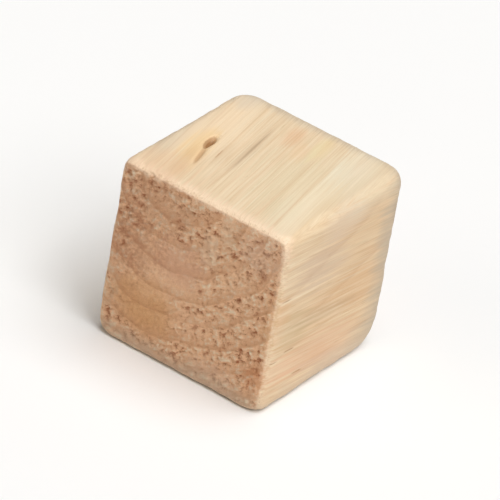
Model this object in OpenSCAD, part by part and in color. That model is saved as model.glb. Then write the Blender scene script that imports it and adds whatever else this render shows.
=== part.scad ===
// Small natural wooden cube, sawn from a planed square stick of softwood and tumbled.
// Frame: origin at the middle of the base, +Z up, grain along Y.
// The sawn end at -Y is the front and the planed side at +X is the right.

/* [Stick] */
// Width of the planed stick, left to right
stick_w = 10; // [6:0.5:40]
// Height of the planed stick, base to top
stick_h = 10; // [6:0.5:40]
// Length that the saw takes off the stick, along the grain
cut_l = 10; // [6:0.5:40]

/* [Eased edges] */
// Radius of the two long edges at the top
top_edge_r = 0.5; // [0.1:0.05:1]
// Radius of the two long edges at the base
base_edge_r = 0.4; // [0.1:0.05:1]
// Radius of the upright edges of the two sawn ends
end_side_r = 0.45; // [0.1:0.05:1]
// Radius of the level edges of the two sawn ends
end_level_r = 0.35; // [0.1:0.05:1]

/* [Tumbled corners] */
// Wear of the top corners, from the sharp corner: left front, right front, right rear, left rear
top_corner_wear = [0.36, 0.42, 0.48, 0.56]; // [0.3:0.02:1]
// Wear of the base corners in the same order; the right rear one is knocked blunt
base_corner_wear = [0.48, 0.44, 0.74, 0.42]; // [0.3:0.02:1]

/* [Resin pocket] */
// Distance of the pocket's deep slit from the left side, at its middle
pocket_x = 2; // [1.6:0.1:3]
// Distance of the pocket's deep slit from the front end, at its middle
pocket_y = 4.5; // [4:0.1:5]
// Turn of the deep slit away from the stick's length
pocket_turn = 10; // [0:1:20]
// Width, length and depth of the deep slit
pocket_size = [0.44, 1.3, 0.26]; // [0.1:0.02:2]
// Turn of the shallow tail away from the stick's length
tail_turn = 16; // [0:1:25]
// Width, length and depth of the shallow tail, which runs on towards the front
tail_size = [0.32, 2.3, 0.11]; // [0.06:0.01:3]

/* [Hidden] */
// How far a profile runs past the block in the direction that it doesn't shape
overrun = 1;
// Inset from the faces of the middle of the ball that stays at a worn corner
ball_inset = min(stick_w, stick_h, cut_l) * 0.3;
// Share of the tail's length that starts inside the deep slit
tail_lap = 0.2;

$fn = 64;

// Rectangle centred on X and standing on Y = 0, with one radius at its foot and one at its head
module eased_outline(w, h, foot_r, head_r) {
    foot_x = w/2 - foot_r;
    head_x = w/2 - head_r;
    union() {
        polygon([
            [-foot_x, 0], [foot_x, 0], [w/2, foot_r], [w/2, h - head_r],
            [head_x, h], [-head_x, h], [-w/2, h - head_r], [-w/2, foot_r]
        ]);
        for (side = [-1, 1]) {
            translate([side*foot_x, foot_r]) circle(r = foot_r);
            translate([side*head_x, h - head_r]) circle(r = head_r);
        }
    }
}

// The planed stick, running past both cuts
module planed_stick() {
    length = cut_l + 2*overrun;
    translate([0, length/2, 0])
        rotate([90, 0, 0])
            linear_extrude(height = length)
                eased_outline(stick_w, stick_h, base_edge_r, top_edge_r);
}

// Both sawn ends with their level edges eased, as seen from the side
module ends_from_side() {
    length = stick_w + 2*overrun;
    translate([-length/2, 0, 0])
        rotate([90, 0, 90])
            linear_extrude(height = length)
                eased_outline(cut_l, stick_h, end_level_r, end_level_r);
}

// Both sawn ends with their upright edges eased, as seen from above
module ends_from_above() {
    translate([0, -cut_l/2, -overrun])
        linear_extrude(height = stick_h + 2*overrun)
            eased_outline(stick_w, cut_l, end_side_r, end_side_r);
}

// What wear takes off a corner at the origin of a block that fills +X, +Y and +Z
module corner_waste(wear) {
    block = ball_inset + overrun;
    difference() {
        translate([-overrun, -overrun, -overrun]) cube([block, block, block]);
        translate([ball_inset, ball_inset, ball_inset]) sphere(r = sqrt(3)*ball_inset - wear);
    }
}

// The waste of the four corners at one level, in the order left front to left rear
module worn_corners(wears, high) {
    for (i = [0:3]) {
        right = (i == 1 || i == 2) ? 1 : 0;
        rear = (i >= 2) ? 1 : 0;
        translate([(right - 0.5)*stick_w, (rear - 0.5)*cut_l, high*stick_h])
            mirror([right, 0, 0])
                mirror([0, rear, 0])
                    mirror([0, 0, high])
                        corner_waste(wears[i]);
    }
}

// Boat-shaped slit along Y in the plane Z = 0: the dip of a large wheel with a rounded rim
module grain_slit(w, l, depth) {
    wheel_r = (l*l/4 + depth*depth) / (2*depth);
    rim_r = (w*w/4 + depth*depth) / (2*depth);
    translate([0, 0, wheel_r - depth])
        rotate([0, 90, 0])
            rotate_extrude()
                translate([wheel_r - rim_r, 0])
                    circle(r = rim_r);
}

// Open resin pocket in the top: a deep slit and the shallow tail that runs out of it
module resin_pocket() {
    translate([pocket_x - stick_w/2, pocket_y - cut_l/2, stick_h]) {
        rotate([0, 0, pocket_turn])
            grain_slit(pocket_size[0], pocket_size[1], pocket_size[2]);
        rotate([0, 0, tail_turn])
            translate([0, -pocket_size[1]/2 - tail_size[1]*(0.5 - tail_lap), 0])
                grain_slit(tail_size[0], tail_size[1], tail_size[2]);
    }
}

module wooden_cube() {
    color("burlywood")
        difference() {
            intersection() {
                planed_stick();
                ends_from_side();
                ends_from_above();
            }
            worn_corners(top_corner_wear, 1);
            worn_corners(base_corner_wear, 0);
            resin_pocket();
        }
}

wooden_cube();
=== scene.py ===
"""Looks of a small natural wooden cube: one tumbled block of softwood with two torn sawn ends.

The block is one closed mesh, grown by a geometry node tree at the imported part's own size. Its
finish is a solid of wood: rings, fibres, resin and torn ends are worked out from the place in the
block, so that they run through from face to face. Places in both kinds of node tree are in
millimetres, in the part's frame: grain along Y, the front end at -Y, base at Z = 0.
"""

import logging
import math
from dataclasses import dataclass
from enum import Enum
from functools import cached_property
from typing import Dict, List, Optional, Tuple, Union

import bpy
from mathutils import Matrix, Vector


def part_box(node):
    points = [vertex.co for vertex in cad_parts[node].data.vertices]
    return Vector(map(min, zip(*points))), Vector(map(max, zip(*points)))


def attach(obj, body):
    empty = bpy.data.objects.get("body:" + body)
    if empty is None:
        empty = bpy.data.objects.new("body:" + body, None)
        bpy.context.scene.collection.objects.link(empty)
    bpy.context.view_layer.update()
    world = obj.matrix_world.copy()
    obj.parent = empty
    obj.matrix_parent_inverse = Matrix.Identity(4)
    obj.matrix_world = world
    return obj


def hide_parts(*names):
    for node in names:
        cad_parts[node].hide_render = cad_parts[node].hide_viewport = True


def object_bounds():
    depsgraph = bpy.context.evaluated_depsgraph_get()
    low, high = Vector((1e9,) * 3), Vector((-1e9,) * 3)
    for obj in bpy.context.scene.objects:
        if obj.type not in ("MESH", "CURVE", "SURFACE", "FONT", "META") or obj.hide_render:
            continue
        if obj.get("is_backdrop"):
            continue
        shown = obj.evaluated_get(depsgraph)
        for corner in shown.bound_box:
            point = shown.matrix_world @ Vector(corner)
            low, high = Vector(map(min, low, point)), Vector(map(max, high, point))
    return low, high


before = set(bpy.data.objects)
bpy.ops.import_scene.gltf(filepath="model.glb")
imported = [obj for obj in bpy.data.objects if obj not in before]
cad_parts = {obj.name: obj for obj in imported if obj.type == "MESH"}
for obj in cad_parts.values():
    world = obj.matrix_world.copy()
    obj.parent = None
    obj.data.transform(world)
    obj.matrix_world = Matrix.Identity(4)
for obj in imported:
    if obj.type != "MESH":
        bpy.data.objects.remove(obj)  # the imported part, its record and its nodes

log = logging.getLogger("wooden_cube")

NODE = "wooden_cube"
MM = 0.001  # a millimetre in metres
TINY = 1e-4  # keeps a division away from zero
MIDDLE = 0.5  # what noise and lots between 0 and 1 lie round

Number = Union[int, float]
Pair = Tuple[float, float]
Triple = Tuple[float, float, float]
Value = Union["Field", Number, Triple]


def srgb(red: Number, green: Number, blue: Number) -> Triple:
    """Turns a colour on the 0 to 255 scale of a screen into linear light.

    Args:
        red: Red, 0 to 255.
        green: Green, 0 to 255.
        blue: Blue, 0 to 255.

    Returns:
        The three linear values, 0 to 1.
    """
    def linear(level: Number) -> float:
        """Undoes the standard curve of a screen for one of the three."""
        share = level / 255
        return share / 12.92 if share <= 0.04045 else ((share + 0.055) / 1.055) ** 2.4

    return linear(red), linear(green), linear(blue)


# ---------------------------------------------------------------------------------------------
# Node trees written as expressions
# ---------------------------------------------------------------------------------------------


class Lay(Enum):
    """How one colour is laid on another."""

    COVER = "MIX"
    DARKEN = "MULTIPLY"


class Field:
    """A node socket that takes part in arithmetic, in a shader or a geometry tree."""

    def __init__(self, tree: "Tree", socket: Optional[bpy.types.NodeSocket]) -> None:
        """Holds a socket of a tree, or nothing for a node that ends its tree."""
        self.tree = tree
        self.socket = socket

    @property
    def wide(self) -> bool:
        """Whether the socket carries three numbers and not one."""
        return self.socket.type in {"VECTOR", "RGBA"}

    def other(self, name: str) -> "Field":
        """Gives another output of the same node."""
        return Field(self.tree, self.socket.node.outputs[name])

    def __add__(self, other: Value) -> "Field":
        """Adds a value."""
        return self.tree.maths("ADD", self, other)

    __radd__ = __add__

    def __sub__(self, other: Value) -> "Field":
        """Takes a value away."""
        return self.tree.maths("SUBTRACT", self, other)

    def __rsub__(self, other: Value) -> "Field":
        """Is taken away from a value."""
        return self.tree.maths("SUBTRACT", other, self)

    def __mul__(self, other: Value) -> "Field":
        """Multiplies by a value."""
        return self.tree.maths("MULTIPLY", self, other)

    __rmul__ = __mul__

    def __truediv__(self, other: Value) -> "Field":
        """Divides by a value."""
        return self.tree.maths("DIVIDE", self, other)

    def __rtruediv__(self, other: Value) -> "Field":
        """Divides a value."""
        return self.tree.maths("DIVIDE", other, self)

    def __abs__(self) -> "Field":
        """Gives the size without the sign."""
        return self.tree.maths("ABSOLUTE", self)

    def sqrt(self) -> "Field":
        """Gives the square root."""
        return self.tree.maths("SQRT", self)

    def power(self, exponent: float) -> "Field":
        """Raises a number that isn't negative to a power."""
        return self.tree.maths("POWER", self, exponent)

    def floor(self) -> "Field":
        """Gives the whole number below."""
        return self.tree.maths("FLOOR", self)

    def fraction(self) -> "Field":
        """Gives what is left above the whole number below."""
        return self.tree.maths("FRACT", self)

    def sign(self) -> "Field":
        """Gives 1, 0 or -1."""
        return self.tree.maths("SIGN", self)

    def at_least(self, other: Value) -> "Field":
        """Gives the larger of the two."""
        return self.tree.maths("MAXIMUM", self, other)

    def at_most(self, other: Value) -> "Field":
        """Gives the smaller of the two."""
        return self.tree.maths("MINIMUM", self, other)

    def beyond(self, other: Value) -> "Field":
        """Gives 1 where this is the larger, else 0."""
        return self.tree.maths("GREATER_THAN", self, other)

    def rise(self, start: Value, end: Value, low: Value = 0, high: Value = 1) -> "Field":
        """Goes smoothly from one value to another.

        Args:
            start: Where it starts to go.
            end: Where it has arrived.
            low: Its value up to the start.
            high: Its value from the end on.

        Returns:
            The smooth step.
        """
        return self.tree.node(
            "ShaderNodeMapRange",
            {"interpolation_type": "SMOOTHSTEP"},
            {"Value": self, "From Min": start, "From Max": end, "To Min": low, "To Max": high},
        )

    def fall(self, start: Value, end: Value, high: Value = 1) -> "Field":
        """Goes smoothly from high at start to 0 at end."""
        return self.rise(start, end, high, 0)

    def split(self) -> Tuple["Field", "Field", "Field"]:
        """Gives the three parts of a vector."""
        first = self.tree.node("ShaderNodeSeparateXYZ", {}, {0: self})
        return first, first.other("Y"), first.other("Z")


class Tree:
    """A node tree under construction."""

    def __init__(self, nodes: bpy.types.NodeTree) -> None:
        """Empties a tree and holds it."""
        self.nodes = nodes
        nodes.nodes.clear()

    def node(
        self, kind: str, settings: Dict[str, object], inputs: Dict[Union[int, str], object],
    ) -> Field:
        """Adds a node.

        Args:
            kind: The node's type.
            settings: Its own settings, set before its sockets.
            inputs: Values or fields by socket name or number.

        Returns:
            The node's first live output, or an empty field where it has none.
        """
        made = self.nodes.nodes.new(kind)
        for name, setting in settings.items():
            setattr(made, name, setting)
        for key, value in inputs.items():
            self._feed(self._socket(made.inputs, key), value)
        live = [socket for socket in made.outputs if socket.enabled]
        return Field(self, live[0] if live else None)

    @staticmethod
    def _socket(sockets: bpy.types.NodeInputs, key: Union[int, str]) -> bpy.types.NodeSocket:
        """Finds a socket.

        Args:
            sockets: The node's inputs.
            key: Its number, or the name that it alone has among the live ones.

        Returns:
            The socket.
        """
        if isinstance(key, int):
            return sockets[key]
        return next(socket for socket in sockets if socket.name == key and socket.enabled)

    def _feed(self, socket: bpy.types.NodeSocket, value: object) -> None:
        """Links a field to a socket, or sets the socket's value.

        Args:
            socket: The input.
            value: The field, number, vector, colour or other value that it takes.
        """
        if isinstance(value, Field):
            self.nodes.links.new(value.socket, socket)
        elif socket.type == "VECTOR" and isinstance(value, (int, float)):
            socket.default_value = (value, value, value)
        elif socket.type == "RGBA" and len(value) == 3:
            socket.default_value = (*value, 1)
        else:
            socket.default_value = value

    def maths(self, operation: str, *terms: Value) -> Field:
        """Adds a Math node, or a Vector Math node where a term has three parts.

        Args:
            operation: What it does.
            *terms: Its inputs, in order.

        Returns:
            The outcome.
        """
        wide = any(term.wide if isinstance(term, Field) else isinstance(term, tuple) for term in terms)
        kind = "ShaderNodeVectorMath" if wide else "ShaderNodeMath"
        return self.node(kind, {"operation": operation}, dict(enumerate(terms)))

    def join(self, x: Value, y: Value, z: Value) -> Field:
        """Makes a vector of three parts."""
        return self.node("ShaderNodeCombineXYZ", {}, {"X": x, "Y": y, "Z": z})

    def noise(self, place: Field, scale: float, layers: float, roughness: float = 0.5) -> Field:
        """Adds smooth noise between 0 and 1.

        Args:
            place: Where to read it; a single number gives noise along a line.
            scale: Lumps in each unit of place.
            layers: How many finer layers are added.
            roughness: How strong each finer layer is beside the last.

        Returns:
            The noise.
        """
        wide = place.wide
        return self.node(
            "ShaderNodeTexNoise",
            {"noise_dimensions": "3D" if wide else "1D"},
            {"Vector" if wide else "W": place, "Scale": scale, "Detail": layers, "Roughness": roughness},
        )

    def mix(self, share: Value, first: Value, second: Value) -> Field:
        """Blends two numbers.

        Args:
            share: How much of the second, 0 to 1.
            first: The number at 0.
            second: The number at 1.

        Returns:
            The blend.
        """
        return self.node(
            "ShaderNodeMix", {"data_type": "FLOAT"}, {"Factor": share, "A": first, "B": second},
        )

    def tint(self, share: Value, first: Value, second: Value, lay: Lay = Lay.COVER) -> Field:
        """Blends two colours.

        Args:
            share: How much of the second, 0 to 1.
            first: The colour at 0.
            second: The colour at 1.
            lay: How the second is laid on the first.

        Returns:
            The blend.
        """
        return self.node(
            "ShaderNodeMix",
            {"data_type": "RGBA", "blend_type": lay.value},
            {"Factor": share, "A": first, "B": second},
        )


# ---------------------------------------------------------------------------------------------
# The block's sizes, and how its wood grew and was cut
# ---------------------------------------------------------------------------------------------


class Corner(Enum):
    """The block's corners.

    Attributes:
        signs: The signs of X, Y and Z there, Z counted from the middle.
        wear: How much is worn off, in millimetres.
    """

    LEFT_FRONT_TOP = (-1, -1, 1, 0.36)
    RIGHT_FRONT_TOP = (1, -1, 1, 0.42)
    RIGHT_REAR_TOP = (1, 1, 1, 0.48)
    LEFT_REAR_TOP = (-1, 1, 1, 0.56)
    LEFT_FRONT_BASE = (-1, -1, -1, 0.48)
    RIGHT_FRONT_BASE = (1, -1, -1, 0.44)
    RIGHT_REAR_BASE = (1, 1, -1, 0.74)
    LEFT_REAR_BASE = (-1, 1, -1, 0.42)

    def __init__(self, x: int, y: int, z: int, wear: float) -> None:
        """Names the four numbers."""
        self.signs = (x, y, z)
        self.wear = wear

    @property
    def label(self) -> str:
        """The corner's name as a node input."""
        return "Wear " + self.name.lower().replace("_", " ")


class Grain(Enum):
    """Patterns drawn out along the grain.

    Attributes:
        across: Lumps in each millimetre across the grain.
        along: Lumps in each millimetre along the grain.
        layers: How many finer layers are added.
        shift: Moves the pattern, so that two don't agree.
    """

    RING_WAVER = (0.35, 0.06, 1, 3.1)
    RING_RIPPLE = (1.6, 0.12, 2, 8.4)
    BUNDLE = (2.2, 0.12, 2, 4.6)
    COARSE_STRAND = (4.5, 0.1, 0, 0)
    FINE_STRAND = (13, 0.2, 0, 0)
    THREAD = (8, 0.14, 3, 9.9)
    HAIR = (19, 0.3, 3, 2.2)
    CANAL = (1.7, 0.16, 0, 0.3)
    DASH = (7, 0.6, 0, 5.1)
    STAIN_EDGE = (1.1, 0.3, 3, 4.7)
    STAIN_STREAK = (6, 0.13, 3, 6.3)
    GRIME_EDGE = (1.2, 0.6, 3, 7.1)
    POCKET_FRAY = (9, 0.5, 2, 1.2)

    def __init__(self, across: float, along: float, layers: int, shift: float) -> None:
        """Names the four numbers."""
        self.across, self.along = across, along
        self.layers, self.shift = layers, shift


class EndGrain(Enum):
    """Patterns on the sawn ends.

    Attributes:
        scale: Lumps in each millimetre.
        layers: How many finer layers are added.
        roughness: How strong each finer layer is beside the last.
        shift: Moves the pattern, so that two don't agree.
    """

    CLEAN_DRIFT = (0.3, 1, 0.5, 2.9)
    CLEAN_EDGE = (0.6, 2, 0.5, 5.5)
    BURNISH_EDGE = (0.7, 2, 0.5, 5.5)
    KERF_STIR = (0.5, 1, 0.5, 2.0)
    TUFT_STIR = (3.0, 3, 0.6, 4.0)
    CLUMP = (1.7, 2, 0.6, 9.2)
    WORN_EDGE = (3.5, 5, 0.75, 6.1)
    TORN_FIBRE = (13, 4, 0.7, 3.3)
    PORE = (19, 3, 0.65, 7.7)

    def __init__(self, scale: float, layers: int, roughness: float, shift: float) -> None:
        """Names the four numbers."""
        self.scale, self.layers = scale, layers
        self.roughness, self.shift = roughness, shift


@dataclass(frozen=True)
class Block:
    """The block's outer sizes in millimetres.

    Attributes:
        width: Size along X.
        length: Size along Y, the grain.
        height: Size along Z.
    """

    width: float
    length: float
    height: float

    @classmethod
    def of_node(cls, node: str) -> "Block":
        """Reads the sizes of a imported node."""
        low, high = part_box(node)
        return cls(*(float(b - a) / MM for a, b in zip(low, high)))


@dataclass(frozen=True)
class Growth:
    """How the tree grew round its pith.

    Attributes:
        pith_x: Where the pith passes the middle of the length, along X.
        pith_z: The same, along Z.
        lean_x: How far the grain moves along X for each millimetre to the rear.
        lean_z: The same, along Z.
        ring: Width of the first ring.
        narrowing: How fast later rings get narrower; 1 keeps them equal.
        oval: How much less than X the distance from the pith along Z counts, once squared.
        waver: How far the rings stray, in millimetres.
        ripple: How far they stray from one fibre bundle to the next.
        late_power: How late in its year the dense wood comes; more is later.
        late_end: Where in its year the dense wood starts to end.
        darkening_power: How late in its year the wood darkens on the ends.
        darkening: How much it darkens, beside the dense wood's 1.
        faint_line: How marked the faintest year's end is, beside 1.
        rays: Rays in each radian round the pith, and how much they change in each year.
    """

    pith_x: float = -2.3
    pith_z: float = 10.45
    lean_x: float = -0.17
    lean_z: float = -0.10
    ring: float = 1.5
    narrowing: float = 1.09
    oval: float = 0.9
    waver: float = 0.9
    ripple: float = 0.2
    late_power: float = 5
    late_end: float = 0.93
    darkening_power: float = 3
    darkening: float = 0.75
    faint_line: float = 0.35
    rays: Pair = (34, 0.5)

    def from_pith(self, x: Value, y: Value, z: Value) -> Tuple[Value, Value, Value]:
        """Gives a place in the block as it lies round the pith, along the leaning grain."""
        return x - y * self.lean_x - self.pith_x, y, z - y * self.lean_z - self.pith_z


@dataclass(frozen=True)
class Patch:
    """A roundish patch on one sawn end, in millimetres.

    Attributes:
        end: The sign of Y at its end.
        x: Its middle along X.
        z: Its middle along Z.
        half_width: Its half size along X.
        half_height: Its half size along Z.
    """

    end: int
    x: float
    z: float
    half_width: float
    half_height: float

    def spread(self, wood: "Wood", stray: Field, fade: Pair) -> Field:
        """Gives 1 in the patch and 0 outside it.

        Args:
            wood: The wood's fields.
            stray: How far its edge strays.
            fade: Where it starts to fade and where it is gone, in squared shares of its size.

        Returns:
            The patch, 0 to 1.
        """
        right = (wood.x - self.x) / self.half_width
        up = (wood.z - self.z) / self.half_height
        return (right * right + up * up + stray).fall(*fade) * (wood.y * self.end).beyond(0)


@dataclass(frozen=True)
class Sawing:
    """How the saw left the ends.

    Attributes:
        turn: How far the torn fibres lie from level, in degrees.
        lumps: Lumps in each millimetre the way the fibres lie, and across that.
        lump_roughness: How strong each finer layer of the lumps is beside the last.
        lump_height: How much the lumps stand out.
        tufts: Tufts in each millimetre the way the fibres lie, and across that.
        tuft_share: How much of the height is tufts.
        tuft_top: Height of a tuft at its middle.
        tuft_slope: How fast a tuft falls away from its middle.
        tuft_stir: How far the tufts are stirred, in tufts.
        dense: Where in its year the wood starts to tear less, and where that is full.
        dense_calm: How much less it tears there.
        calm_height: Height of what isn't torn at all.
        clean: Where the saw left the ends whole.
        clean_fade: Where those patches start to fade, and are gone.
        clean_stray: How far their edges stray.
        clean_most: How whole they are at most.
        drift: Where in its own pattern the rest starts to be cleaner, and is cleanest.
        drift_most: How clean the rest is at most.
        burnished: The smooth patch low on the left of the front end.
        burnish_fade: Where it starts to fade, and is gone.
        burnish_stray: How far its edge strays.
        kerf_pitch: Saw scratches in each millimetre.
        kerf_slope: How far they fall for each millimetre to the right.
        kerf_stir: How far they wander, in millimetres.
    """

    turn: float = 28
    lumps: Pair = (2.0, 2.8)
    lump_roughness: float = 0.7
    lump_height: float = 2.6
    tufts: Pair = (5, 6.5)
    tuft_share: float = 0.3
    tuft_top: float = 1.2
    tuft_slope: float = 0.7
    tuft_stir: float = 2
    dense: Pair = (0.5, 0.95)
    dense_calm: float = 0.4
    calm_height: float = 0.55
    clean: Tuple[Patch, ...] = (
        Patch(-1, -1.9, 5.2, 3.4, 2.3),
        Patch(1, 1.5, 3.3, 2.9, 1.9),
        Patch(1, -2.6, 7.4, 1.9, 1.5),
    )
    clean_fade: Pair = (0.5, 1.9)
    clean_stray: float = 1.4
    clean_most: float = 0.75
    drift: Pair = (0.5, 0.75)
    drift_most: float = 0.5
    burnished: Patch = Patch(-1, -2.4, 2.6, 2.0, 1.6)
    burnish_fade: Pair = (-0.2, 1.5)
    burnish_stray: float = 1.6
    kerf_pitch: float = 5
    kerf_slope: float = 0.35
    kerf_stir: float = 0.5


@dataclass(frozen=True)
class Pocket:
    """The open resin pocket in the top, in millimetres.

    Attributes:
        x: Middle of its deep slit along X.
        y: The same, along Y.
        turn: Turn of the deep slit away from the grain, in degrees.
        slit: Width, length and depth of the deep slit.
        tail_turn: Turn of the shallow tail.
        tail: Width, length and depth of the shallow tail.
        lap: Share of the tail's length that starts inside the slit.
    """

    x: float = -3.0
    y: float = -0.5
    turn: float = 10
    slit: Triple = (0.44, 1.3, 0.26)
    tail_turn: float = 16
    tail: Triple = (0.32, 2.3, 0.11)
    lap: float = 0.2

    def _boat(self, place: Field, turn: float, start: float, size: Triple) -> Field:
        """Gives 1 at the middle of one dip, falling to 0 at its rim, and below 0 outside.

        Args:
            place: The place in the block.
            turn: The dip's turn in degrees.
            start: How far its middle lies from the slit's, along it.
            size: Its width, length and depth.

        Returns:
            The dip's shape.
        """
        tree = place.tree
        c, s = math.cos(math.radians(turn)), math.sin(math.radians(turn))
        half_width, half_length = size[0] / 2, size[1] / 2
        offset = place - (self.x, self.y, 0.0)
        across = tree.maths("DOT_PRODUCT", offset, (c / half_width, s / half_width, 0.0))
        along = tree.maths("DOT_PRODUCT", offset, (-s / half_length, c / half_length, 0.0))
        along = along - start / half_length
        return 1 - (across * across + along * along)

    def deep(self, place: Field) -> Field:
        """Gives the deep slit's shape."""
        return self._boat(place, self.turn, 0, self.slit)

    def shallow(self, place: Field) -> Field:
        """Gives the tail's shape."""
        start = self.tail[1] * self.lap - (self.slit[1] + self.tail[1]) / 2
        return self._boat(place, self.tail_turn, start, self.tail)


@dataclass(frozen=True)
class Timber:
    """What the block was cut from, and how.

    Attributes:
        block: Its outer sizes.
        growth: How the tree grew.
        sawing: How the saw left the ends.
        pocket: The resin pocket.
    """

    block: Block
    growth: Growth = Growth()
    sawing: Sawing = Sawing()
    pocket: Pocket = Pocket()


# ---------------------------------------------------------------------------------------------
# The wood, as fields that the relief and the finish share
# ---------------------------------------------------------------------------------------------


class Wood:
    """The fields of the wood at a place in the block.

    Attributes:
        END_BORDER: How far past an end's edge its look starts, and is full, in millimetres.
        TOP_BORDER: The same for the top.
        END_PLANE: Where each end's patterns are read, in millimetres from the middle.
        EASING: How far inside the nearest edge its easing starts to fade, and is gone.
        FINE_SHARE: How much of the strands' tone comes from the fine ones.
        CANAL_RIM: Where a resin canal starts to fade, and is gone, in cells.
        CANAL_ODDS: The cell's number where it starts to hold a canal, and holds it in full.
        DASH_RIM: Where an opened fibre end starts to fade, and is gone, in cells.
        DASH_ODDS: The cell's number where it starts to hold one, and holds it in full.
        WEAR: Along Y, where handling starts to soften the patches' streaks, and has done so.
        STREAKS: How far the streaks stray before that, and after.
        STRAY: How far the edge of a patch strays besides.
    """

    END_BORDER = (-0.05, 0.12)
    TOP_BORDER = (-0.05, 0.1)
    END_PLANE = 7
    EASING = (0.1, 0.6)
    FINE_SHARE = 0.7
    CANAL_RIM = (0.05, 0.09)
    CANAL_ODDS = (0.3, 0.5)
    DASH_RIM = (0.1, 0.2)
    DASH_ODDS = (0.62, 0.8)
    WEAR = (1.5, 4.5)
    STREAKS = (3.0, 1.2)
    STRAY = 1.3

    def __init__(self, tree: Tree, place: Field, timber: Timber, layers: int) -> None:
        """Works out the shared fields.

        Args:
            tree: The tree to add nodes to.
            place: The place in millimetres.
            timber: What the block was cut from, and how.
            layers: How many finer layers the torn ends have.
        """
        self.tree = tree
        self.place = place
        self.timber = timber
        self.layers = layers
        block, growth = timber.block, timber.growth
        self.x, self.y, self.z = place.split()
        # How far inside each pair of faces the place is
        self.in_x = block.width / 2 - abs(self.x)
        self.in_y = block.length / 2 - abs(self.y)
        self.in_z = block.height / 2 - abs(self.z - block.height / 2)
        self.end_reach = self.in_x.at_most(self.in_z) - self.in_y
        self.end = self.end_reach.rise(*self.END_BORDER)
        self.top = (self.in_x.at_most(self.in_y) - (block.height - self.z)).rise(*self.TOP_BORDER)
        # The whole trunk shares the leaning grain
        self.u, _, self.v = growth.from_pith(self.x, self.y, self.z)
        self.trunk = tree.join(self.u, self.y, self.v)
        # On each planed face the fine grain runs along that face, and doesn't dive into it
        level = self.in_x.beyond(self.in_z)
        self.faced = tree.join(
            self.x - self.y * growth.lean_x * level, self.y, self.z - self.y * growth.lean_z * (1 - level),
        )
        self.end_plane = self.y.sign() * self.END_PLANE
        self.sawn = tree.join(self.x, self.end_plane, self.z)

    @staticmethod
    def _drawn(place: Field, grain: Grain) -> Field:
        """Draws a place out along the grain."""
        scale, shift = (grain.across, grain.along, grain.across), (grain.shift, 0.0, -grain.shift)
        return place.tree.maths("MULTIPLY_ADD", place, scale, shift)

    def fibres(self, grain: Grain) -> Field:
        """Gives noise along the leaning grain, 0 to 1."""
        return self.tree.noise(self._drawn(self.trunk, grain), 1, grain.layers)

    def threads(self, grain: Grain) -> Field:
        """Gives noise along the grain as it lies on each planed face, 0 to 1."""
        return self.tree.noise(self._drawn(self.faced, grain), 1, grain.layers)

    def on_end(self, grain: EndGrain) -> Field:
        """Gives noise on the sawn ends, 0 to 1, the same all along the grain at each end."""
        place = self.sawn + (grain.shift, 0, -grain.shift)
        return self.tree.noise(place, grain.scale, grain.layers, grain.roughness)

    def cells(self, place: Field) -> Tuple[Field, Field]:
        """Gives Voronoi cells.

        Args:
            place: Where to read them, in cells.

        Returns:
            The distance from the middle of the cell, and a random number for the cell.
        """
        made = self.tree.node("ShaderNodeTexVoronoi", {"feature": "F1"}, {
            "Vector": place, "Scale": 1.0, "Detail": 0.0, "Randomness": 1.0,
        })
        lot, _, _ = made.other("Color").split()
        return made, lot

    def _specks(self, grain: Grain, rim: Pair, odds: Pair) -> Field:
        """Gives long specks along the grain, in some of a pattern's cells.

        Args:
            grain: The pattern.
            rim: Where a speck starts to fade, and is gone, in cells.
            odds: The cell's number where it starts to hold a speck, and holds it in full.

        Returns:
            The specks, 0 to 1.
        """
        far, lot = self.cells(self._drawn(self.faced, grain))
        return far.fall(*rim) * lot.rise(*odds)

    @cached_property
    def years(self) -> Field:
        """The age of the wood, with the waver of real rings.

        Returns:
            The age in years.
        """
        growth = self.timber.growth
        plain = (self.u * self.u + self.v * self.v * growth.oval).sqrt()
        waver = (self.fibres(Grain.RING_WAVER) - MIDDLE) * growth.waver
        ripple = (self.fibres(Grain.RING_RIPPLE) - MIDDLE) * growth.ripple
        return ((plain + waver + ripple).at_least(0) / growth.ring).power(growth.narrowing)

    @cached_property
    def season(self) -> Field:
        """Where in its year the wood grew, 0 to 1."""
        return self.years.fraction()

    @cached_property
    def late(self) -> Field:
        """How dense the wood is within its year, 0 to 1."""
        growth = self.timber.growth
        return self.season.power(growth.late_power) * self.season.fall(growth.late_end, 1.0)

    @cached_property
    def darkening(self) -> Field:
        """How dark the wood of its season is on the ends, where 1 is the dense line."""
        growth = self.timber.growth
        return self.late + self.season.power(growth.darkening_power) * growth.darkening

    @cached_property
    def marked(self) -> Field:
        """How marked the year's end is.

        Returns:
            The year's own number, 0 to 1.
        """
        year = self.years.floor()
        lot = self.tree.node("ShaderNodeTexWhiteNoise", {"noise_dimensions": "1D"}, {"W": year})
        # The first year ended hard
        return lot.at_least(1 - year)

    @cached_property
    def year_line(self) -> Field:
        """The dense line of each year, with its own strength, 0 to 1."""
        faint = self.timber.growth.faint_line
        return self.late * (faint + self.marked * (1 - faint))

    @cached_property
    def strands(self) -> Field:
        """The tone of each bundle of fibres along the grain.

        Returns:
            The tone, 0 to 1.
        """
        _, coarse = self.cells(self._drawn(self.faced, Grain.COARSE_STRAND))
        _, fine = self.cells(self._drawn(self.faced, Grain.FINE_STRAND))
        return coarse * (1 - self.FINE_SHARE) + fine * self.FINE_SHARE

    @cached_property
    def hair(self) -> Field:
        """The finest fibres along the grain, 0 to 1."""
        return self.threads(Grain.HAIR)

    @cached_property
    def canals(self) -> Field:
        """The fine resin canals: 1 in them, else 0."""
        return self._specks(Grain.CANAL, self.CANAL_RIM, self.CANAL_ODDS)

    @cached_property
    def dashes(self) -> Field:
        """Short fibre ends that the plane opened: 1 in them, else 0."""
        return self._specks(Grain.DASH, self.DASH_RIM, self.DASH_ODDS)

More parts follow.
